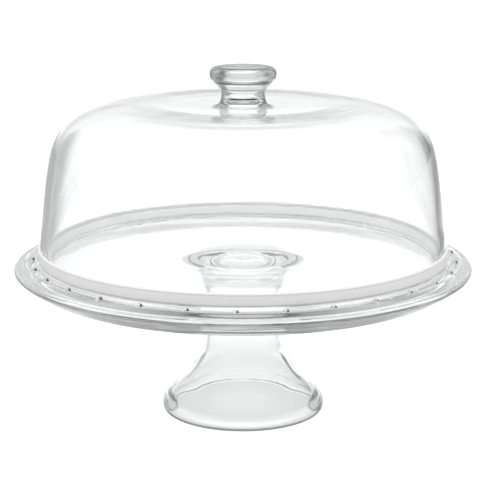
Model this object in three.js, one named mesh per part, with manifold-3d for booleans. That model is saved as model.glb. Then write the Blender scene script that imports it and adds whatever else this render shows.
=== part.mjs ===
// Footed glass cake stand with a lift-off dome cover.
//
// Millimetres, +Z up. The origin is on the axis of the stand, at the level of the table.
// Every piece is turned about the Z axis. The plate also carries a circle of small beads.
//
//   plate          thick disc with a rolled outer rim
//   pedestal_foot  hollow trumpet foot, open below, under the plate
//   rim_ring       plastic channel round the edge of the cover
//   dome_shell     glass bell, its edge standing in the channel
//   dome_knob      solid glass knob on the crown of the bell

import * as THREE from "three";
import { mergeVertices } from "three/addons/utils/BufferGeometryUtils.js";
import Module from "manifold-3d";

// ---- driving dimensions -------------------------------------------------

const GAP = 0.3; // clearance between neighbouring solids
const SEGMENTS = 48; // facets round the large pieces
const KNOB_SEGMENTS = 32; // facets round the knob

const PLATE_RADIUS = 162.5; // widest point of the rim
const PLATE_TOP = 114.4; // level of the flat top
const PLATE_FLAT_RADIUS = 147.0; // radius of the raised flat, below its bevel
const PLATE_UNDER = 107.6; // flat underside
const RIM_WIDEST_Z = 107.8; // height of the widest point of the rim
const RIM_BOTTOM_Z = 96.2; // bottom of the ridge under the rim

const BEAD_COUNT = 30;
const BEAD_CIRCLE_RADIUS = 150.3; // circle the bead centres lie on
const BEAD_FLOOR = 112.3; // level of the step they stand on
const BEAD_RADIUS = 2.2;
const BEAD_HEIGHT = 2.1; // height over the step
const BEAD_PHASE = -1.8; // degrees, turn of the first bead about +Z from the front (-Y)
const BEAD_SEGMENTS = 8; // facets round a bead
const BEAD_BANDS = 4; // facets from pole to pole

const FOOT_RADIUS = 58.6; // widest point of the base
const FOOT_NECK_RADIUS = 28.8; // narrowest point of the stem
const FOOT_WALL = 4.6; // wall of the stem
const FOOT_FACE_OUTER = 56.6; // flat ring that rests on the table
const FOOT_FACE_INNER = 52.4;
const FOOT_TOP = PLATE_UNDER - GAP;

const DOME_WALL = 4.5;
const DOME_EDGE_RADIUS = 144.0; // outside of the wall inside the ring
const DOME_EDGE_INNER = DOME_EDGE_RADIUS - DOME_WALL;
const DOME_EDGE_Z = 115.7; // lower edge of the glass
const DOME_EDGE_BEVEL = 0.8;
const DOME_UPRIGHT_TOP = 126.0; // top of the upright part of the wall
const CROWN_CENTRE_Z = 221.1; // flat middle of the crown, a shallow dish round the knob
const CROWN_FLAT_RADIUS = 24.0;
const CROWN_RING_Z = 223.3; // highest ring of the crown, outside
const CROWN_RING_RADIUS = 68.0;
const CROWN_WALL = 4.6;
const CROWN_UNDER = CROWN_CENTRE_Z - CROWN_WALL;
const DIMPLE_RADIUS = 10.2; // dimple inside the crown, under the knob
const DIMPLE_TOP = 219.8;

const RING_LIFT = 0.03; // small clearance between the ring and the plate
const RING_BOTTOM = PLATE_TOP + RING_LIFT;
const RING_OUTER_RADIUS = 145.5;
const RING_OUTER_WALL = 1.2; // thickness of the outer flange
const RING_INNER_WALL = 1.1; // thickness of the inner flange
const RING_FLOOR = 0.9; // thickness of the floor
const RING_TOP = 123.7; // top of the outer flange
const RING_INNER_TOP = 121.2; // top of the inner flange

const KNOB_BASE = CROWN_CENTRE_Z + GAP;
const KNOB_HEAD_RADIUS = 23.5; // widest point of the head
const KNOB_NECK_RADIUS = 15.0; // waist
const KNOB_TOP = 248.2; // flat top of the knob, the highest point

// ---- materials ----------------------------------------------------------

function clearGlass(name) {
  return new THREE.MeshStandardMaterial({
    name,
    color: 0xdfe5e4,
    roughness: 0.03,
    metalness: 0.0,
    transparent: true,
    opacity: 0.35,
  });
}

function ringPlastic() {
  return new THREE.MeshStandardMaterial({
    name: "rim_plastic",
    color: 0xe6e2e3,
    roughness: 0.4,
    metalness: 0.0,
  });
}

// ---- helpers ------------------------------------------------------------

// All profiles are lists of [radius, height] points.

// Turns a profile about Z. The profile runs with the solid on its left:
// up the outside and down the inside.
function revolve(profile, segments = SEGMENTS) {
  const points = profile.map(([radius, height]) => new THREE.Vector2(radius, height));
  return new THREE.LatheGeometry(points, segments)
    .rotateX(Math.PI / 2); // the lathe turns about Y
}

// Moves the points of a profile to their left by the wall thickness, square to the line
// through their neighbours, and reverses them. The two end points only give direction.
function offsetInside(profile, wall) {
  const inside = profile.slice(1, -1).map(([radius, height], i) => {
    const before = profile[i];
    const after = profile[i + 2];
    const run = after[0] - before[0];
    const rise = after[1] - before[1];
    const length = Math.hypot(run, rise);
    return [radius - (rise / length) * wall, height + (run / length) * wall];
  });
  return inside.reverse();
}

const manifold = await Module();
manifold.setup();

const WELD_DISTANCE = 1e-3; // vertices closer than this become one

// Normals and UVs go first, as they would keep the vertices at a seam apart.
function toSolid(geometry) {
  const bare = geometry.clone();
  bare.deleteAttribute("normal");
  bare.deleteAttribute("uv");
  const merged = mergeVertices(bare, WELD_DISTANCE);
  return new manifold.Manifold(
    new manifold.Mesh({
      numProp: 3,
      vertProperties: merged.attributes.position.array,
      triVerts: new Uint32Array(merged.index.array),
    }),
  );
}

function toGeometry(solid) {
  const mesh = solid.getMesh();
  const positions = new Float32Array(mesh.vertProperties);
  const geometry = new THREE.BufferGeometry();
  geometry.setAttribute("position", new THREE.BufferAttribute(positions, 3));
  geometry.setIndex(new THREE.BufferAttribute(new Uint32Array(mesh.triVerts), 1));
  geometry.computeVertexNormals();
  return geometry;
}

function makePiece(name, geometry, material) {
  const piece = new THREE.Mesh(geometry, material);
  piece.name = name;
  return piece;
}

function makeGroup(name, ...children) {
  const group = new THREE.Group();
  group.name = name;
  group.add(...children);
  return group;
}

// ---- plate --------------------------------------------------------------

// From the middle of the underside, round the rim, to the middle of the top.
const plateProfile = [
  [0, PLATE_UNDER],
  [134.5, PLATE_UNDER],
  [138.6, 106.9],
  [141.3, 104.3],
  [142.9, 99.6],
  [144.2, 96.9],
  [145.9, RIM_BOTTOM_Z],
  [147.6, 96.9],
  [152.0, 99.3],
  [157.2, 102.6],
  [160.4, 104.9],
  [162.0, 106.5],
  [PLATE_RADIUS, RIM_WIDEST_Z],
  [161.95, 109.2],
  [160.4, 110.3],
  [157.4, 110.5],
  [153.6, BEAD_FLOOR - 0.3],
  [152.6, BEAD_FLOOR],
  [PLATE_FLAT_RADIUS + 0.8, BEAD_FLOOR],
  [PLATE_FLAT_RADIUS, PLATE_TOP - 0.3],
  [PLATE_FLAT_RADIUS - 0.4, PLATE_TOP],
  [0, PLATE_TOP],
];

// A flattened ball, its lower half sunk in the plate.
function makeBead(angle) {
  return new THREE.SphereGeometry(1, BEAD_SEGMENTS, BEAD_BANDS)
    .rotateX(Math.PI / 2) // poles onto Z
    .scale(BEAD_RADIUS, BEAD_RADIUS, BEAD_HEIGHT)
    .translate(
      BEAD_CIRCLE_RADIUS * Math.cos(angle),
      BEAD_CIRCLE_RADIUS * Math.sin(angle),
      BEAD_FLOOR,
    );
}

function makePlate() {
  let solid = toSolid(revolve(plateProfile));
  for (let i = 0; i < BEAD_COUNT; i++) {
    const angle = THREE.MathUtils.degToRad(-90 + BEAD_PHASE + (i * 360) / BEAD_COUNT);
    solid = solid.add(toSolid(makeBead(angle)));
  }
  return makePiece("plate", toGeometry(solid), clearGlass("plate_glass"));
}

// ---- pedestal foot ------------------------------------------------------

// From the closed top of the hollow down to the base.
const footInside = [
  [0, 99.5],
  [16, 98.2],
  [23.2, 92.0],
  [FOOT_NECK_RADIUS - FOOT_WALL, 78.0],
  [24.1, 64.0],
  [24.7, 52.0],
  [26.7, 41.0],
  [31.9, 31.0],
  [38.8, 21.6],
  [45.8, 14.4],
  [50.2, 9.4],
  [51.6, 4.6],
  [FOOT_FACE_INNER, 0],
];

// From the base up to the plate, then in to the axis.
const footOutside = [
  [FOOT_FACE_OUTER, 0],
  [58.1, 1.6],
  [FOOT_RADIUS, 4.6],
  [58.0, 7.8],
  [54.9, 11.6],
  [49.6, 17.0],
  [42.6, 24.0],
  [35.7, 33.0],
  [31.0, 42.0],
  [29.2, 52.0],
  [FOOT_NECK_RADIUS, 64.0],
  [28.9, 78.0],
  [29.8, 90.0],
  [31.6, 99.0],
  [35.4, FOOT_TOP - 1.6],
  [38.4, FOOT_TOP],
  [0, FOOT_TOP],
];

function makeFoot() {
  const geometry = revolve([...footInside, ...footOutside]);
  return makePiece("pedestal_foot", geometry, clearGlass("foot_glass"));
}

// ---- rim ring -----------------------------------------------------------

function makeRing() {
  const channelOuter = RING_OUTER_RADIUS - RING_OUTER_WALL;
  const channelInner = DOME_EDGE_INNER - GAP;
  const bore = channelInner - RING_INNER_WALL;
  const channelFloor = RING_BOTTOM + RING_FLOOR;
  const profile = [
    [bore, RING_BOTTOM],
    [RING_OUTER_RADIUS - 0.3, RING_BOTTOM],
    [RING_OUTER_RADIUS, RING_BOTTOM + 0.5],
    [RING_OUTER_RADIUS, RING_TOP - 0.6],
    [RING_OUTER_RADIUS - 0.4, RING_TOP],
    [channelOuter + 0.2, RING_TOP],
    [channelOuter, RING_TOP - 0.4],
    [channelOuter, channelFloor],
    [channelInner, channelFloor],
    [channelInner, RING_INNER_TOP],
    [bore, RING_INNER_TOP],
    [bore, RING_BOTTOM],
  ];
  return makePiece("rim_ring", revolve(profile), ringPlastic());
}

// ---- dome shell ---------------------------------------------------------

const domeEdgeOutside = [
  [DOME_EDGE_RADIUS - DOME_EDGE_BEVEL, DOME_EDGE_Z],
  [DOME_EDGE_RADIUS, DOME_EDGE_Z + DOME_EDGE_BEVEL],
];

// From the top of the upright wall to the rim of the flat middle of the crown.
const domeBell = [
  [DOME_EDGE_RADIUS, DOME_UPRIGHT_TOP],
  [142.6, 138.5],
  [141.0, 152.0],
  [139.6, 163.5],
  [138.0, 174.5],
  [136.2, 184.5],
  [134.0, 193.0],
  [130.7, 200.4],
  [126.1, 207.0],
  [120.0, 212.4],
  [112.4, 216.7],
  [103.6, 219.9],
  [93.0, 222.1],
  [81.0, 223.1],
  [CROWN_RING_RADIUS, CROWN_RING_Z],
  [54.0, 222.6],
  [38.0, 221.6],
  [CROWN_FLAT_RADIUS, CROWN_CENTRE_Z],
];

// From the axis, down the side of the dimple and out under the crown.
const crownInside = [
  [0, DIMPLE_TOP],
  [DIMPLE_RADIUS - 2.2, DIMPLE_TOP - 0.2],
  [DIMPLE_RADIUS, DIMPLE_TOP - 1.1],
  [DIMPLE_RADIUS + 1.8, DIMPLE_TOP - 2.6],
  [15.0, CROWN_UNDER + 0.1],
  [CROWN_FLAT_RADIUS, CROWN_UNDER],
];

const domeEdgeInside = [
  [DOME_EDGE_INNER, DOME_UPRIGHT_TOP],
  [DOME_EDGE_INNER, DOME_EDGE_Z + DOME_EDGE_BEVEL],
  [DOME_EDGE_INNER + DOME_EDGE_BEVEL, DOME_EDGE_Z],
];

function makeDome() {
  const profile = [
    ...crownInside,
    ...offsetInside(domeBell, DOME_WALL),
    ...domeEdgeInside,
    ...domeEdgeOutside,
    ...domeBell,
    [0, CROWN_CENTRE_Z],
  ];
  return makePiece("dome_shell", revolve(profile), clearGlass("dome_glass"));
}

// ---- knob ---------------------------------------------------------------

// From the middle of the base, up the outside, to the middle of the top.
const knobProfile = [
  [0, KNOB_BASE],
  [20.0, KNOB_BASE],
  [17.4, KNOB_BASE + 0.7],
  [16.0, KNOB_BASE + 2.1],
  [15.3, KNOB_BASE + 4.6],
  [KNOB_NECK_RADIUS, KNOB_BASE + 7.6],
  [15.2, 231.5],
  [22.4, 239.6],
  [23.3, 240.9],
  [KNOB_HEAD_RADIUS, 242.7],
  [23.1, 245.3],
  [21.8, 247.1],
  [19.2, KNOB_TOP],
  [0, KNOB_TOP],
];

function makeKnob() {
  return makePiece("dome_knob", revolve(knobProfile, KNOB_SEGMENTS), clearGlass("knob_glass"));
}

// ---- assembly -----------------------------------------------------------

const stand = makeGroup("stand", makePlate(), makeFoot());
const cover = makeGroup("cover", makeRing(), makeDome(), makeKnob());
const cakeStand = makeGroup("cake_stand", stand, cover);

export default cakeStand;
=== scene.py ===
import math

import bmesh
import bpy
import numpy as np
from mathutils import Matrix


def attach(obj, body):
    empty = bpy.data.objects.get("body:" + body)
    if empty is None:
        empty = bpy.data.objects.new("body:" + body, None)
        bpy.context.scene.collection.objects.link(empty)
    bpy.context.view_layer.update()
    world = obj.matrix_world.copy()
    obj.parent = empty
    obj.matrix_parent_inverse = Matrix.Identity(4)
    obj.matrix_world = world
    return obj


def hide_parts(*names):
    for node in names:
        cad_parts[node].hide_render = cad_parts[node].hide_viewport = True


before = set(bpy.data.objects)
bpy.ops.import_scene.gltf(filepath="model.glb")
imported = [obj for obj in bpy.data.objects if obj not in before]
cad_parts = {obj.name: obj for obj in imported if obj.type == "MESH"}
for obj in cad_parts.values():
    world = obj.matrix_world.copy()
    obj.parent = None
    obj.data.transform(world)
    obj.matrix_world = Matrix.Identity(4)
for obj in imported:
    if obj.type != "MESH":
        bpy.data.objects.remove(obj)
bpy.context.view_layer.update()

MM = 0.001
DEGREES = 180 / math.pi

# ---------------------------------------------------------------- dimensions
# Millimetres, in this section and in the outlines.
SEAT = 114.4  # height of the plate's flat top
RIM_RADIUS = 162.5
DOME_WALL = 4.55
RING_BASE = SEAT + 0.03

SEGMENTS = 360  # round the axis
GLASS_STEP = 1.0  # between points along a glass outline
RING_STEP = 0.4

# Moulded beads: low half-domes in a circle near the rim, each with a small fillet at its foot
BEADS = 30
BEAD_RADIUS = 2.2
BEAD_HEIGHT = 2.1
BEAD_CIRCLE = 150.3
BEAD_PHASE = math.radians(-91.8)
BEAD_FILLET = 0.15  # how far the fillet reaches beyond the bead
BEAD_DOME_SHARE = 0.97  # share of the bead's radius that is plain dome
# The strip that carries the beads, and its finer mesh
STRIP_INNER, STRIP_OUTER = 147.45, 153.45
STRIP_FLOOR = SEAT - 4.5
STRIP_STEP = 0.3
STRIP_FINENESS = 8  # times as many segments round the axis

# ------------------------------------------------------------------ outlines
# Points are (radius, height). A third value of 1 marks a crisp corner.

# Stand: plate and foot in one. Out over the plate, round the rim and down the foot, then up inside.
PLATE_TOP = [
    (0, SEAT), (60, SEAT), (120, SEAT), (145.8, SEAT),
    # step down to the bead strip
    (146.7, SEAT - 0.02), (147.2, SEAT - 0.15), (147.45, SEAT - 0.5),
    (147.52, SEAT - 1.0), (147.65, SEAT - 1.55), (148.1, SEAT - 1.92),
    (149.2, 112.38), (150.7, 112.3), (152.6, 112.25),
]
PLATE_RIM = [
    (153.6, 112.0), (155.2, 111.35), (156.8, 110.65), (157.9, 110.4), (159.0, 110.4),
    (160.1, 110.3), (161.2, 109.9), (161.95, 109.25), (162.4, 108.45), (RIM_RADIUS, 107.7),
    (162.2, 106.75), (161.3, 105.7), (159.6, 104.3), (157.2, 102.6), (154.6, 100.9),
    (152.0, 99.3), (149.5, 97.85), (147.4, 96.8), (145.9, 96.2),
]
PLATE_UNDERSIDE = [
    (144.5, 96.5), (143.5, 97.8), (142.7, 100.2), (141.7, 103.2), (140.2, 105.8),
    (137.8, 107.2), (134.0, 107.6), (128, 107.6), (90, 107.6), (52, 107.6),
]
FOOT_OUTSIDE = [
    (42.5, 107.2), (36.6, 105.4), (33.0, 102.2), (30.9, 97.2), (29.6, 90.0), (28.9, 78.0),
    (28.8, 64.0), (29.2, 52.0), (31.0, 42.0), (35.7, 33.0), (42.6, 24.0), (49.6, 17.0),
    (54.9, 11.6), (57.6, 8.2), (58.6, 4.9), (58.3, 2.2), (57.5, 0.7), (56.2, 0.0),
]
FOOT_INSIDE = [
    (54.5, 0.0), (53.5, 0.15), (52.9, 0.9), (52.5, 2.6), (51.9, 5.4), (50.0, 9.8),
    (46.0, 14.5), (38.8, 21.6), (31.9, 31.0), (26.7, 41.0), (24.7, 52.0), (24.1, 64.0),
    (24.1, 78.0), (23.4, 90.0), (20.4, 95.8), (14.0, 99.0), (0, 99.8),
]

# Cover: bell and knob in one. From the knob's hollow down the inside to the bell's edge,
# then up the outside and over the knob.
KNOB_HOLLOW = [
    (0, 225.3), (4.0, 225.1), (7.2, 224.4), (9.3, 222.9), (10.2, 220.7),
    (11.0, 218.6), (12.8, 217.15), (16.0, 216.6), (22.0, 216.55),
]
DOME_EDGE = [
    (139.5, 126.0), (139.5, 118.2), (139.8, 116.4), (140.7, 115.7),
    (142.8, 115.7), (143.7, 116.4), (144.0, 118.2),
]
DOME_OUTSIDE = [
    (144.0, 126.0), (142.6, 138.5), (141.0, 152.0), (139.6, 163.5), (138.0, 174.5),
    (136.2, 184.5), (134.0, 193.0), (130.7, 200.4), (126.1, 207.0), (120.0, 212.4),
    (112.4, 216.7), (103.6, 219.9), (93.0, 222.15), (81.0, 223.2), (68.0, 223.35),
    (54.0, 222.6), (42.0, 221.75), (32.0, 221.3),
]
KNOB_OUTSIDE = [
    (24.5, 221.15), (20.5, 221.3), (18.2, 221.85), (16.8, 223.0), (15.9, 224.7),
    (15.4, 226.8), (15.1, 229.2), (15.1, 231.3, 1), (22.2, 239.3, 1), (23.1, 240.5),
    (23.5, 242.5), (23.4, 244.4), (22.8, 246.2), (21.4, 247.6), (19.2, 248.2),
    (10.0, 248.2), (0, 248.2),
]

# Rim ring: a channel open upwards, ending on its first point. Heights are above RING_BASE.
RING_SECTION = [
    (138.1, 0.7), (138.4, 0.15), (139.0, 0.0), (144.4, 0.0), (145.2, 0.15),
    # outer wall and its lip
    (145.5, 0.8), (145.5, 3.2), (145.5, 6.6), (145.35, 7.1), (145.3, 7.4), (145.75, 7.75),
    (145.8, 8.1), (145.5, 8.7), (145.0, 9.15), (144.6, 9.27), (144.35, 9.0), (144.3, 8.5),
    # inside of the channel
    (144.3, 4.0), (144.3, 1.3), (143.9, 0.9), (139.7, 0.9), (139.2, 1.3), (139.2, 4.0),
    # inner wall
    (139.2, 6.3), (138.95, 6.72), (138.4, 6.72), (138.1, 6.3), (138.1, 3.0), (138.1, 0.7),
]


# ------------------------------------------------------------------ geometry
def on_bead_strip(radius, height):
    """Whether a point of the stand's outline lies on the strip that carries the beads."""
    return STRIP_INNER - 1e-6 <= radius <= STRIP_OUTER + 1e-6 and height > STRIP_FLOOR


def between(a, b, time_a, time_b, time):
    """The point reached at time on the straight way from a to b."""
    span = time_b - time_a
    return (time_b - time) / span * a + (time - time_a) / span * b


def curve_span(p0, p1, p2, p3, step):
    """Points from p1 (left out) to p2 on the centripetal Catmull-Rom curve."""
    times = [0.0]
    for a, b in ((p0, p1), (p1, p2), (p2, p3)):
        times.append(times[-1] + max(np.linalg.norm(b - a), 1e-6) ** 0.5)
    t0, t1, t2, t3 = times
    count = max(2, int(math.ceil(np.linalg.norm(p2 - p1) / step)))
    points = []
    for k in range(1, count + 1):
        t = t1 + (t2 - t1) * k / count
        first = between(p0, p1, t0, t1, t)
        middle = between(p1, p2, t1, t2, t)
        last = between(p2, p3, t2, t3, t)
        near = between(first, middle, t0, t2, t)
        far = between(middle, last, t1, t3, t)
        points.append(between(near, far, t1, t2, t))
    return points


def spline(outline, step, beaded=False):
    """A smooth curve through the outline, broken at crisp corners, with a point about every
    step. A beaded outline is sampled more finely on the bead strip."""
    crisp = [i for i, point in enumerate(outline) if len(point) > 2]
    cuts = sorted({0, *crisp, len(outline) - 1})
    curve = [np.array(outline[0][:2], float)]
    for start, end in zip(cuts, cuts[1:]):
        part = [np.array(point[:2], float) for point in outline[start : end + 1]]
        if len(part) == 2:  # straight
            a, b = part
            count = max(1, int(round(np.linalg.norm(b - a) / (step * 4))))
            curve += [a + (b - a) * k / count for k in range(1, count + 1)]
            continue
        # a mirrored point beyond each end gives the curve its end direction
        part = [2 * part[0] - part[1]] + part + [2 * part[-1] - part[-2]]
        for p0, p1, p2, p3 in zip(part, part[1:], part[2:], part[3:]):
            fine = beaded and on_bead_strip(*p1) and on_bead_strip(*p2)
            curve += curve_span(p0, p1, p2, p3, STRIP_STEP if fine else step)
    return curve


def offset_inwards(points, wall):
    """The outline moved inwards by wall and turned round to run the other way."""
    moved = []
    for i, (radius, height) in enumerate(points):
        before, after = points[max(i - 1, 0)], points[min(i + 1, len(points) - 1)]
        dr, dz = after[0] - before[0], after[1] - before[1]
        length = math.hypot(dr, dz)
        moved.append((radius - dz / length * wall, height + dr / length * wall))
    return moved[::-1]


def bead_height(radius, angle):
    """How far the nearest bead stands up at a place on the bead strip."""
    pitch = 2 * math.pi / BEADS
    turn = (angle - BEAD_PHASE + pitch / 2) % pitch - pitch / 2
    distance = math.hypot(radius - BEAD_CIRCLE, turn * BEAD_CIRCLE)
    foot = BEAD_RADIUS + BEAD_FILLET
    dome = BEAD_RADIUS * BEAD_DOME_SHARE
    if distance >= foot:
        return 0.0
    if distance < dome:
        return BEAD_HEIGHT * math.sqrt(max(0.0, 1 - (distance / BEAD_RADIUS) ** 2))
    fillet_top = BEAD_HEIGHT * math.sqrt(1 - BEAD_DOME_SHARE**2)
    return fillet_top * ((foot - distance) / (foot - dome)) ** 2


def graded_faces(coarse, fine, coarse_count, ratio, coarse_first):
    """Triangles between a coarse ring and one with ratio times as many points."""
    faces = []
    half = ratio // 2
    fine_count = coarse_count * ratio
    for k in range(coarse_count):
        here, following = coarse + k, coarse + (k + 1) % coarse_count
        fan = []
        for m in range(ratio):
            p = fine + k * ratio + m
            q = fine + (k * ratio + m + 1) % fine_count
            fan.append((here if m < half else following, p, q))
        fan.append((here, fine + k * ratio + half, following))
        faces += fan if coarse_first else [(a, c, b) for a, b, c in fan]
    return faces


def ring_faces(first, first_count, second, second_count):
    """Faces between two neighbouring rings, given by first vertex and count. A pole counts 1."""
    if first_count == 1:
        n = second_count
        return [(first, second + k, second + (k + 1) % n) for k in range(n)]
    if second_count == 1:
        n = first_count
        return [(first + (k + 1) % n, first + k, second) for k in range(n)]
    if first_count == second_count:
        n = first_count
        return [
            (first + k, second + k, second + (k + 1) % n, first + (k + 1) % n) for k in range(n)
        ]
    if first_count < second_count:
        return graded_faces(first, second, first_count, second_count // first_count, True)
    return graded_faces(second, first, second_count, first_count // second_count, False)


def add_object(name, verts, faces):
    mesh = bpy.data.meshes.new(name)
    mesh.from_pydata(verts, [], faces)
    obj = bpy.data.objects.new(name, mesh)
    bpy.context.scene.collection.objects.link(obj)
    return obj


def face_outwards(mesh):
    bm = bmesh.new()
    bm.from_mesh(mesh)
    bmesh.ops.recalc_face_normals(bm, faces=bm.faces)
    if bm.calc_volume(signed=True) < 0:
        bmesh.ops.reverse_faces(bm, faces=bm.faces)
    bm.to_mesh(mesh)
    bm.free()


def lathe(name, profile, beaded=False):
    """Turns a profile round Z into a closed body. It runs from axis to axis or closes on itself."""
    verts, rings = [], []
    for radius, z in profile:
        if radius < 1e-6:
            rings.append((len(verts), 1))
            verts.append((0.0, 0.0, z * MM))
            continue
        with_beads = beaded and on_bead_strip(radius, z)
        count = SEGMENTS * (STRIP_FINENESS if with_beads else 1)
        rings.append((len(verts), count))
        for k in range(count):
            angle = 2 * math.pi * k / count
            raised = bead_height(radius, angle) if with_beads else 0.0
            x, y = radius * math.cos(angle), radius * math.sin(angle)
            verts.append((x * MM, y * MM, (z + raised) * MM))
    pairs = list(zip(rings, rings[1:]))
    if profile[0][0] > 1e-6:
        pairs.append((rings[-1], rings[0]))
    faces = []
    for first, second in pairs:
        faces += ring_faces(*first, *second)
    obj = add_object(name, verts, faces)
    obj.data.validate()
    obj.data.update()
    for polygon in obj.data.polygons:
        polygon.use_smooth = True
    face_outwards(obj.data)
    return obj


def make_stand():
    outline = PLATE_TOP + PLATE_RIM + PLATE_UNDERSIDE + FOOT_OUTSIDE + FOOT_INSIDE
    return lathe("stand_glass", spline(outline, GLASS_STEP, beaded=True), beaded=True)


def make_cover():
    dome_inside = offset_inwards(DOME_OUTSIDE[1:], DOME_WALL)
    outline = KNOB_HOLLOW + dome_inside + DOME_EDGE + DOME_OUTSIDE + KNOB_OUTSIDE
    return lathe("cover_glass", spline(outline, GLASS_STEP))


def make_ring():
    outline = [(radius, RING_BASE + height) for radius, height in RING_SECTION]
    return lathe("rim_ring_moulded", spline(outline, RING_STEP)[:-1])


stand = make_stand()
cover = make_cover()
ring = make_ring()


# -------------------------------------------------------------- shader tools
class Shader:
    """Short ways to add nodes to the tree of a material or world. Places are in metres."""

    def __init__(self, owner):
        owner.use_nodes = True
        self.tree = owner.node_tree
        self.tree.nodes.clear()

    def node(self, kind, inputs=None, **settings):
        """A node with its settings, then its inputs, each a socket to link or a value."""
        node = self.tree.nodes.new("ShaderNode" + kind)
        for key, value in settings.items():
            setattr(node, key, value)
        for key, value in (inputs or {}).items():
            if isinstance(value, bpy.types.NodeSocket):
                self.tree.links.new(value, node.inputs[key])
            else:
                node.inputs[key].default_value = value
        return node

    def math(self, operation, *values):
        return self.node("Math", dict(enumerate(values)), operation=operation).outputs[0]

    def times(self, product, *factors):
        for factor in factors:
            product = self.math("MULTIPLY", product, factor)
        return product

    def ramp(self, value, over, to=(0.0, 1.0), smooth=True):
        """Goes from to[0] to to[1] while value goes from over[0] to over[1], level beyond."""
        inputs = {"From Min": over[0], "From Max": over[1], "To Min": to[0], "To Max": to[1]}
        settings = {"interpolation_type": "SMOOTHSTEP"} if smooth else {}
        return self.node("MapRange", {**inputs, "Value": value}, **settings).outputs[0]

    def band(self, value, rise, fall):
        """Climbs from 0 to 1 over rise and drops back to 0 over fall."""
        return self.times(self.ramp(value, rise), self.ramp(value, fall, to=(1.0, 0.0)))

    def mix(self, level, where, target):
        """Moves level towards target by where."""
        # sockets 0, 2 and 3 are the factor, A and B of a float mix
        return self.node("Mix", {0: where, 2: level, 3: target}, data_type="FLOAT").outputs[0]

    def mix_color(self, a, b, factor, **settings):
        inputs = {"A": a, "B": b, "Factor": factor}
        return self.node("Mix", inputs, data_type="RGBA", **settings).outputs["Result"]

    def noise(self, vector, scale, detail=2.0):
        inputs = {"Scale": scale, "Detail": detail, "Vector": vector}
        return self.node("TexNoise", inputs).outputs["Fac"]

    def bump(self, height, strength, distance):
        inputs = {"Strength": strength, "Distance": distance, "Height": height}
        return self.node("Bump", inputs).outputs[0]

    def split(self, vector):
        return self.node("SeparateXYZ", {0: vector}).outputs

    def dot(self, a, b):
        return self.node("VectorMath", {0: a, 1: b}, operation="DOT_PRODUCT").outputs["Value"]

    def from_camera(self, kind, vector):
        """A vector or point in the camera's axes, turned to world axes."""
        settings = {"vector_type": kind, "convert_from": "CAMERA", "convert_to": "WORLD"}
        return self.node("VectorTransform", {0: vector}, **settings).outputs[0]

    def camera_right(self):
        return self.from_camera("VECTOR", (1, 0, 0))

    def camera_heading(self, right):
        """The level direction the camera looks in."""
        x, y, _ = self.split(right)
        return self.node("CombineXYZ", {0: self.times(y, -1.0), 1: x}).outputs[0]

    def camera_frame(self):
        """The camera's right, heading and place, and its level distance from the axis."""
        right = self.camera_right()
        heading = self.camera_heading(right)
        place = self.from_camera("POINT", (0, 0, 0))
        return right, heading, place, self.times(self.dot(place, heading), -1.0)

    def angle(self, opposite, adjacent):
        """The angle of a right triangle, in degrees."""
        return self.times(self.math("ARCTAN2", opposite, adjacent), DEGREES)

    def light_color(self, level):
        """White where the light is bright, a faint cool grey where it is low."""
        bright = self.ramp(level, over=(0.5, 1.0))
        return self.mix_color((0.975, 1.0, 0.995, 1), (1, 1, 1, 1), bright)


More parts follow.
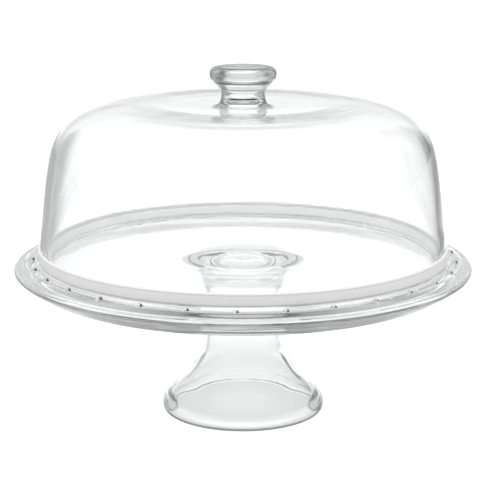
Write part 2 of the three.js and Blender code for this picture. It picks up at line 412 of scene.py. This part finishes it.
# ----------------------------------------------------------------- materials
class Glass(Shader):
    """Pressed clear glass for the stand and cover, with painted shade in its colour that brings out
    its forms.
    Each tone method paints shade: it takes the brightness so far and returns it changed."""

    def __init__(self, material):
        super().__init__(material)
        self.place = self.node("TexCoord").outputs["Object"]
        x, y, self.z = self.split(self.place)
        self.radius = self.math("SQRT", self.math("ADD", self.times(x, x), self.times(y, y)))
        # fine lines round the axis, drifting a little with angle
        drift = self.times(self.math("ADD", x, y), 0.03)
        around = {0: self.times(self.radius, 1.0), 1: self.times(self.z, 1.0), 2: drift}
        self.lines = self.noise(self.node("CombineXYZ", around).outputs[0], scale=640.0)
        self.slow = self.noise(self.place, scale=9.0)
        self.normal = self.node("NewGeometry").outputs["Normal"]
        self.normal_z = self.split(self.normal)[2]
        self.facing = self.node("LayerWeight", {"Blend": 0.5}).outputs["Facing"]
        # distance left or right of the axis as the camera sees it, and distance beyond it
        self.aside = self.math("ABSOLUTE", self.dot(self.place, self.camera_right()))
        self.away = self.distance_beyond_axis()

    def distance_beyond_axis(self):
        return self.dot(self.place, self.camera_heading(self.camera_right()))

    def relief(self):
        """Slow waviness of the skin, with the fine lines added on the rim and the knob."""
        waves = self.noise(self.place, scale=22.0, detail=1.0)
        rim = self.ramp(self.radius, over=(0.1572, 0.1605), to=(0.035, 1.3))
        knob = self.ramp(self.z, over=(0.2225, 0.2245))
        lines = self.times(self.lines, self.math("ADD", rim, knob))
        height = self.math("ADD", self.times(waves, 0.6), lines)
        return self.bump(height, strength=0.10, distance=0.002)

    def tint(self, light, deep, thick):
        """A slowly varying tint, deeper where the glass is solid."""
        color = self.mix_color((*light, 1), (*deep, 1), self.slow)
        along = getattr(self, thick["along"])
        depth = self.ramp(along, over=thick["over"], to=(1.0, thick["darken"]))
        return self.mix_color(color, depth, 1.0, blend_type="MULTIPLY")

    def rim_side(self, tone):
        """Painted shade: streaks round the side of the rim that follow its fine lines, and a thin
        dark line along its upper edge.
        """
        slope = self.math("SUBTRACT", self.z, self.times(self.radius, 0.66))
        side = self.times(
            self.ramp(self.radius, over=(0.1445, 0.1465)),
            self.ramp(slope, over=(0.0018, 0.0008)),
            self.ramp(self.z, over=(0.0950, 0.0955)),
        )
        streak_shade = self.times(
            self.ramp(self.lines, over=(0.38, 0.62), to=(0.16, 0.5)),
            self.ramp(self.aside, over=(0.06, 0.12), to=(0.55, 1.15)),
        )
        edge = self.times(
            self.band(self.z, rise=(0.1074, 0.1077), fall=(0.1084, 0.1087)),
            self.ramp(self.radius, over=(0.1600, 0.1612)),
            self.ramp(self.slow, over=(0.42, 0.56), to=(0.4, 0.85)),
        )
        return self.mix(self.mix(tone, side, streak_shade), edge, target=0.0)

    def beads(self, tone):
        """Painted shade: beads clear to the camera's left and dark to its right, the strip
        between them, and the ring just outside."""
        bead = self.times(
            self.band(self.radius, rise=(0.1479, 0.1482), fall=(0.1524, 0.1528)),
            self.ramp(self.z, over=(0.11245, 0.1126)),
            self.ramp(self.z, over=(0.1150, 0.1148)),
        )
        steep = self.times(self.ramp(self.normal_z, over=(0.75, 0.2)), 0.15)
        shade = self.math("ADD", self.dot(self.normal, self.camera_right()), steep)
        tone = self.mix(tone, bead, self.ramp(shade, over=(0.05, 0.5), to=(0.85, 0.0)))
        strip = self.times(
            self.band(self.radius, rise=(0.1478, 0.1484), fall=(0.1522, 0.1532)),
            self.ramp(self.z, over=(0.1090, 0.1110)),
        )
        gaps = self.times(strip, self.ramp(bead, over=(0.5, 0.0)))
        tone = self.mix(tone, gaps, self.ramp(self.aside, over=(0.07, 0.13), to=(0.84, 0.95)))
        outside = self.times(
            self.band(self.radius, rise=(0.1520, 0.1526), fall=(0.1568, 0.1578)),
            self.ramp(self.z, over=(0.1096, 0.1104)),
        )
        return self.mix(tone, outside, self.ramp(self.aside, over=(0.04, 0.10), to=(0.2, 0.9)))

    def knob_band(self, rise, fall):
        """A band of heights, on the knob only."""
        band = self.band(self.z, rise=rise, fall=fall)
        return self.times(band, self.ramp(self.radius, over=(0.0238, 0.0236)))

    def knob(self, tone):
        """Painted shade: dark lines round the knob, and painted shade on its top."""
        for rise, fall, target in (
            ((0.2216, 0.2219), (0.2222, 0.2226), 0.5),
            ((0.2240, 0.2243), (0.2247, 0.2250), 0.4),
            ((0.2326, 0.2329), (0.2333, 0.2336), 0.35),
        ):
            tone = self.mix(tone, self.knob_band(rise, fall), target)
        under_head = self.knob_band(rise=(0.2368, 0.2376), fall=(0.2386, 0.2394))
        near_half = self.ramp(self.away, over=(0.004, -0.004))
        tone = self.mix(tone, self.times(under_head, near_half), target=0.08)
        front = self.ramp(self.away, over=(-0.0095, -0.0130))
        line = self.band(self.z, rise=(0.2262, 0.2266), fall=(0.2273, 0.2277))
        tone = self.mix(tone, self.times(front, line), target=0.0)
        top = self.ramp(self.z, over=(0.2472, 0.2481))
        tone = self.mix(tone, top, self.ramp(self.facing, over=(0.5, 0.74), to=(0.7, 0.05)))
        top_circle = self.times(
            self.band(self.radius, rise=(0.0196, 0.0201), fall=(0.0207, 0.0212)),
            self.ramp(self.z, over=(0.2462, 0.2466)),
        )
        return self.mix(tone, top_circle, target=0.5)

    def crown(self, tone):
        """Painted shade: the crown is a little greyer than the walls, more so away from the camera.
        """
        crown = self.band(self.z, rise=(0.2125, 0.2150), fall=(0.2236, 0.2240))
        grey = self.ramp(self.away, over=(-0.06, 0.06), to=(1.0, 0.88))
        return self.times(tone, self.mix(1.0, crown, grey))

    def outlines(self, tone, grey):
        """Painted shade: the walls, by grey, and the knob darken towards their outlines."""
        curve = self.ramp(self.facing, over=(0.3, 1.0), to=(1.0, 1.0 - grey), smooth=False)
        wall = self.mix(1.0, self.ramp(self.z, over=(0.118, 0.158), to=(0.25, 1.0)), curve)
        knob = self.ramp(self.facing, over=(0.5, 0.9), to=(1.0, 0.1))
        steep = self.ramp(self.math("ABSOLUTE", self.normal_z), over=(0.75, 0.35))
        on_knob = self.ramp(self.z, over=(0.2225, 0.2245))
        return self.times(tone, self.mix(1.0, steep, self.mix(wall, on_knob, knob)))

    def sole(self, tone):
        """Painted shade: the dark edge the foot stands on, on the side of the camera."""
        near = self.ramp(self.distance_beyond_axis(), over=(0.02, -0.01))
        low = self.band(self.z, rise=(0.0001, 0.0004), fall=(0.0020, 0.0034))
        outer = self.ramp(self.radius, over=(0.0568, 0.0574))
        sole = self.times(low, self.times(outer, near))
        return self.mix(tone, sole, self.ramp(self.slow, over=(0.4, 0.6), to=(0.0, 0.15)))

    def roughness(self):
        """Fire-polished skin, softer where the foot is ground to stand."""
        ground = self.ramp(self.z, over=(0.0006, 0.0002), to=(0.0, 0.5), smooth=False)
        return self.math("ADD", self.times(self.slow, 0.02), ground)


def glass(name, light, deep, glow_per_crossing, thick, outline_grey=0.0):
    """light and deep are the ends of the tint. The emission strength, given third, is painted
    light: a faint glow added at each crossing, so that long paths inside the glass don't go black.
    thick says where the glass looks deeper."""
    material = bpy.data.materials.new(name)
    shader = Glass(material)
    # painted shade, multiplied into the base colour below
    tone = shader.rim_side(1.0)
    tone = shader.beads(tone)
    tone = shader.knob(tone)
    tone = shader.crown(tone)
    if outline_grey:
        tone = shader.outlines(tone, outline_grey)
    tone = shader.sole(tone)
    tint = shader.tint(light, deep, thick)
    surface = {
        "Base Color": shader.mix_color(tint, tone, 1.0, blend_type="MULTIPLY"),
        "Transmission Weight": 1.0,
        "IOR": 1.52,
        # painted light: the glass glows faintly in this cool white
        "Emission Color": (0.955, 0.99, 0.985, 1),
        "Emission Strength": glow_per_crossing,
        "Normal": shader.relief(),
        "Roughness": shader.roughness(),
    }
    shader.node("OutputMaterial", {0: shader.node("BsdfPrincipled", surface).outputs[0]})
    return material


# Brightness of the ring by height above RING_BASE (mm), painted into its colour: painted shade
# along the foot and in a fine line under the lip, painted light that makes the lip whiter.
RING_TONES = [
    (0.0, 0.58), (0.8, 0.74), (1.6, 0.97), (3.0, 1.0), (6.3, 1.0),
    (6.9, 0.9), (7.4, 0.8), (7.8, 1.08), (9.3, 1.1),
]
RING_TONES_MARGIN = 0.1  # the colour ramp starts this far below RING_BASE
RING_TONES_TOP = 9.4


def ring_tone(shader, z):
    low, high = RING_BASE - RING_TONES_MARGIN, RING_BASE + RING_TONES_TOP
    above = shader.math("SUBTRACT", z, low * MM)
    tone = shader.node("ValToRGB", {0: shader.math("DIVIDE", above, (high - low) * MM)})
    stops = tone.color_ramp.elements
    while len(stops) < len(RING_TONES):
        stops.new(0.5)
    for stop, (height, value) in zip(stops, RING_TONES):
        stop.position = min(1.0, (height + RING_TONES_MARGIN) / (high - low))
        stop.color = (value, value, value, 1)
    return tone.outputs[0]


def ring_plastic():
    """Satin white plastic, slightly translucent."""
    material = bpy.data.materials.new("rim_plastic_satin")
    shader = Shader(material)
    place = shader.node("TexCoord").outputs["Object"]
    clouds = shader.noise(place, scale=35.0, detail=3.0)
    white = shader.mix_color((0.90, 0.875, 0.88, 1), (0.93, 0.915, 0.92, 1), clouds)
    # painted shade and light by height, as RING_TONES gives
    tone = ring_tone(shader, shader.split(place)[2])
    grain = shader.noise(place, scale=900.0)
    surface = {
        "Base Color": shader.mix_color(
            white, tone, 1.0, blend_type="MULTIPLY", clamp_result=True
        ),
        "Subsurface Weight": 0.35,
        "Subsurface Radius": (1.0, 0.9, 0.9),
        "Subsurface Scale": 0.004,
        "IOR": 1.49,
        "Roughness": shader.math("ADD", shader.times(grain, 0.12), 0.28),
        "Normal": shader.bump(grain, strength=0.08, distance=0.0004),
    }
    shader.node("OutputMaterial", {0: shader.node("BsdfPrincipled", surface).outputs[0]})
    return material


# Solid glass looks deeper: the plate's rolled rim, and the knob
THICK_RIM = {"along": "radius", "over": (0.1560, 0.1580), "darken": 0.93}
THICK_KNOB = {"along": "z", "over": (0.2230, 0.2330), "darken": 0.97}
# The foot's glass is below this height and within this radius (metres)
FOOT_TOP, FOOT_REACH = 0.095, 0.08

stand.data.materials.append(
    glass(
        "stand_pressed_glass",
        light=(0.965, 0.973, 0.971),
        deep=(0.950, 0.961, 0.958),
        glow_per_crossing=0.047,
        thick=THICK_RIM,
    )
)
stand.data.materials.append(
    glass(
        "foot_pressed_glass",
        light=(0.957, 0.964, 0.962),
        deep=(0.942, 0.952, 0.950),
        glow_per_crossing=0.013,
        thick=THICK_RIM,
    )
)
for face in stand.data.polygons:
    x, y, z = face.center
    face.material_index = 1 if z < FOOT_TOP and math.hypot(x, y) < FOOT_REACH else 0
cover.data.materials.append(
    glass(
        "cover_pressed_glass",
        light=(0.976, 0.981, 0.980),
        deep=(0.966, 0.973, 0.971),
        glow_per_crossing=0.014,
        thick=THICK_KNOB,
        outline_grey=0.38,
    )
)
ring.data.materials.append(ring_plastic())

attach(stand, "stand")
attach(cover, "dome")
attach(ring, "ring")
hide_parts("plate", "pedestal_foot")
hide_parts("dome_shell", "dome_knob")
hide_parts("rim_ring")

# ----------------------------------------------------------- floor and light
# Soft studio light, turned with the camera. The floor gives its level by place, the world by
# azimuth and elevation in degrees.
SWEEP_WHITE = 1.2  # sweep behind, seen through clear glass
CAMERA_WHITE = 1.3  # what the camera sees of the plain background
CAMERA_FLOOR = 0.85  # light of the floor itself, as the camera sees it
FLOOR_RADIUS, FLOOR_Z, FLOOR_CORNERS = 9, -0.0002, 96


def floor_level(shader):
    """The floor's light by azimuth from the camera and by place, before diffuse bounces."""
    mix, ramp, band = shader.mix, shader.ramp, shader.band
    place = shader.node("NewGeometry").outputs["Position"]
    right, heading, _, reach = shader.camera_frame()
    across = shader.dot(place, right)
    ahead = shader.dot(place, heading)
    azimuth = shader.angle(across, shader.math("ADD", ahead, reach))
    radius = shader.node("VectorMath", {0: place}, operation="LENGTH").outputs["Value"]
    # narrow dark card to the right, then a wide soft light
    level = mix(0.34, ramp(azimuth, over=(12.0, 15.0)), target=0.2)
    level = mix(level, ramp(azimuth, over=(21.0, 30.0)), target=0.45)
    # table in front, and near the foot
    level = mix(level, ramp(ahead, over=(-0.06, -0.16)), target=0.5)
    near_foot = ramp(radius, over=(0.25, 0.19))
    level = mix(level, near_foot, ramp(ahead, over=(0.02, 0.08), to=(0.5, 0.84)))
    sweep = shader.times(
        band(azimuth, rise=(-11.5, -9.0), fall=(12.0, 15.0)), ramp(ahead, over=(0.12, 0.24))
    )
    level = mix(level, sweep, SWEEP_WHITE)
    # under the foot, painted shade, with painted light in a bright crescent along the front of its
    # hollow
    level = mix(level, ramp(radius, over=(0.056, 0.052)), target=0.68)
    back = shader.math("SUBTRACT", ahead, 0.02)
    squares = shader.math("ADD", shader.times(across, across), shader.times(back, back))
    bow = shader.math("SQRT", squares)
    crescent = shader.times(
        ramp(radius, over=(0.0520, 0.0500)), ramp(bow, over=(0.0575, 0.0625))
    )
    level = mix(level, crescent, target=1.08)
    # painted contact shadow where the foot touches
    contact = band(radius, rise=(0.0505, 0.0535), fall=(0.0605, 0.072))
    level = mix(level, contact, ramp(ahead, over=(-0.01, 0.02), to=(0.0, 0.95)))
    # the plain diffuse share adds about this much
    return shader.math("SUBTRACT", level, 0.3)


def floor_material():
    material = bpy.data.materials.new("floor_pale")
    shader = Shader(material)
    path = shader.node("LightPath").outputs
    bounced = shader.math("MINIMUM", path["Diffuse Depth"], 1.0)
    level = shader.mix(floor_level(shader), bounced, target=0.45)
    glow = {
        "Strength": shader.mix(level, path["Is Camera Ray"], CAMERA_FLOOR),
        "Color": shader.light_color(level),
    }
    diffuse = shader.node("BsdfDiffuse", {"Color": (0.4, 0.4, 0.4, 1)}).outputs[0]
    emission = shader.node("Emission", glow).outputs[0]
    both = shader.node("AddShader", {0: diffuse, 1: emission}).outputs[0]
    shader.node("OutputMaterial", {0: both})
    return material


def make_floor():
    turns = [2 * math.pi * k / FLOOR_CORNERS for k in range(FLOOR_CORNERS)]
    verts = [(FLOOR_RADIUS * math.cos(a), FLOOR_RADIUS * math.sin(a), FLOOR_Z) for a in turns]
    floor = add_object("floor", verts, [tuple(range(FLOOR_CORNERS))])
    floor.data.materials.append(floor_material())
    return floor


make_floor()


def world_level(shader, direction):
    """The studio's light by direction, before diffuse bounces. Also returns the elevation."""
    right, heading, place, reach = shader.camera_frame()
    azimuth = shader.angle(shader.dot(direction, right), shader.dot(direction, heading))
    elevation = shader.times(shader.math("ARCSINE", shader.split(direction)[2]), DEGREES)

    def panel(level, sides, top, target):
        across = shader.band(azimuth, rise=sides[:2], fall=sides[2:])
        # the rise lies below straight down, so a panel has no lower edge
        upright = shader.band(elevation, rise=(-95, -94), fall=top)
        return shader.mix(level, shader.times(across, upright), target)

    level = panel(0.42, sides=(-44, -22, 20, 36), top=(34, 44), target=0.74)
    # the sweep's top edge sits just over the line of sight, so that the crown and the knob
    # mirror the grey wall above it; dip is how steeply the camera looks down at 0.12 m
    eye_height = shader.split(place)[2]
    dip = shader.angle(shader.math("SUBTRACT", eye_height, 0.12), reach)
    sweep_top = shader.math("SUBTRACT", 9.2, shader.times(dip, 0.55))
    over = shader.math("SUBTRACT", elevation, sweep_top)
    sweep = shader.times(
        shader.band(azimuth, rise=(-25, -16), fall=(16, 21)),
        shader.ramp(over, over=(0, 4), to=(1.0, 0.0)),
    )
    level = shader.mix(level, sweep, SWEEP_WHITE)
    # narrow dark card to the right, then the dark studio to the right and to the left
    level = panel(level, sides=(22, 30, 40, 50), top=(40, 58), target=0.2)
    level = panel(level, sides=(52, 66, 112, 124), top=(42, 56), target=0.26)
    level = panel(level, sides=(-124, -112, -70, -56), top=(42, 56), target=0.26)
    # soft box overhead
    return shader.mix(level, shader.ramp(elevation, over=(48, 66)), target=1.15), elevation


def make_world():
    world = bpy.data.worlds.new("studio")
    bpy.context.scene.world = world
    shader = Shader(world)
    level, elevation = world_level(shader, shader.node("TexCoord").outputs["Generated"])
    path = shader.node("LightPath").outputs
    bounced = shader.math("MINIMUM", path["Diffuse Depth"], 1.0)
    level = shader.mix(level, bounced, shader.ramp(elevation, over=(-5, 70), to=(0.6, 1.5)))
    level = shader.mix(level, path["Is Camera Ray"], CAMERA_WHITE)
    light = {"Color": shader.light_color(level), "Strength": level}
    shader.node("OutputWorld", {0: shader.node("Background", light).outputs[0]})


make_world()

# -------------------------------------------------------------------- camera
CAMERA_ELEVATION = 0.2388  # radians above level
CAMERA_DISTANCE = 1.0768
AIM_HEIGHT = 0.1085  # of the point on the axis it turns about


def make_camera():
    data = bpy.data.cameras.new("camera")
    camera = bpy.data.objects.new("camera", data)
    bpy.context.scene.collection.objects.link(camera)
    data.sensor_width = 36.0
    data.lens = 108.04752
    data.shift_x = 0.0138
    data.shift_y = 0.023
    data.clip_start = 0.01
    data.clip_end = 100
    camera.location = (
        0.0,
        -CAMERA_DISTANCE * math.cos(CAMERA_ELEVATION),
        AIM_HEIGHT + CAMERA_DISTANCE * math.sin(CAMERA_ELEVATION),
    )
    camera.rotation_euler = (math.pi / 2 - CAMERA_ELEVATION, 0, 0)
    bpy.context.scene.camera = camera


def set_render():
    view = bpy.context.scene.view_settings
    view.view_transform = "Standard"
    view.look = "None"
    view.exposure = 0.0
    view.gamma = 1.0
    cycles = bpy.context.scene.cycles
    cycles.max_bounces = 24
    cycles.transmission_bounces = 24
    cycles.glossy_bounces = 12
    cycles.diffuse_bounces = 4
    cycles.transparent_max_bounces = 16
    cycles.caustics_reflective = True
    cycles.caustics_refractive = True
    cycles.blur_glossy = 0.0
    cycles.sample_clamp_indirect = 6.0
    cycles.use_denoising = True
    cycles.seed = 7


make_camera()
set_render()
